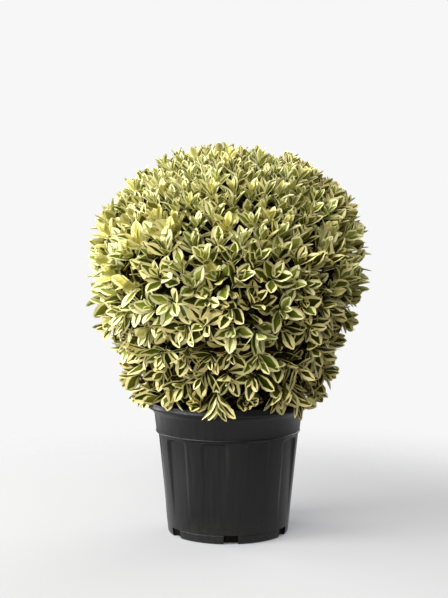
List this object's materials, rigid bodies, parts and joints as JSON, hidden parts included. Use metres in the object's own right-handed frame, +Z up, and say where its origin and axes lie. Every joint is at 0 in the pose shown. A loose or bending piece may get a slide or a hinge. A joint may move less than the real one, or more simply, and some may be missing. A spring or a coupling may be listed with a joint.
{
  "type": "potted japanese spindle ball",
  "caption": "Evergreen shrub with cream-edged oval leaves, clipped to a dense ball on a short hidden stem, in a round tapered black nursery pot with a wide rim and fluted sides.",
  "frame": {"origin": "centre of the pot's flat underside", "axes": "+Z up along the pot's axis, -Y towards the front, +X to the right as seen from the front"},
  "size_m": [0.4184, 0.4188, 0.574],
  "materials": {
    "pot_plastic": "satin",
    "compost": "matte",
    "bark": "matte",
    "foliage": "satin"
  },
  "bodies": {
    "root": {"pot": "pot_plastic", "compost": "compost", "stem": "bark", "bough_top": "bark", "bough_upper_1": "bark", "bough_upper_2": "bark", "bough_upper_3": "bark", "bough_upper_4": "bark", "bough_upper_5": "bark", "bough_lower_1": "bark", "bough_lower_2": "bark", "bough_lower_3": "bark", "bough_lower_4": "bark", "bough_lower_5": "bark", "bough_lower_6": "bark", "foliage_top": "foliage", "foliage_upper_1": "foliage", "foliage_upper_2": "foliage", "foliage_upper_3": "foliage", "foliage_upper_4": "foliage", "foliage_upper_5": "foliage", "foliage_lower_1": "foliage", "foliage_lower_2": "foliage", "foliage_lower_3": "foliage", "foliage_lower_4": "foliage", "foliage_lower_5": "foliage", "foliage_lower_6": "foliage"}
  },
  "joints": []
}
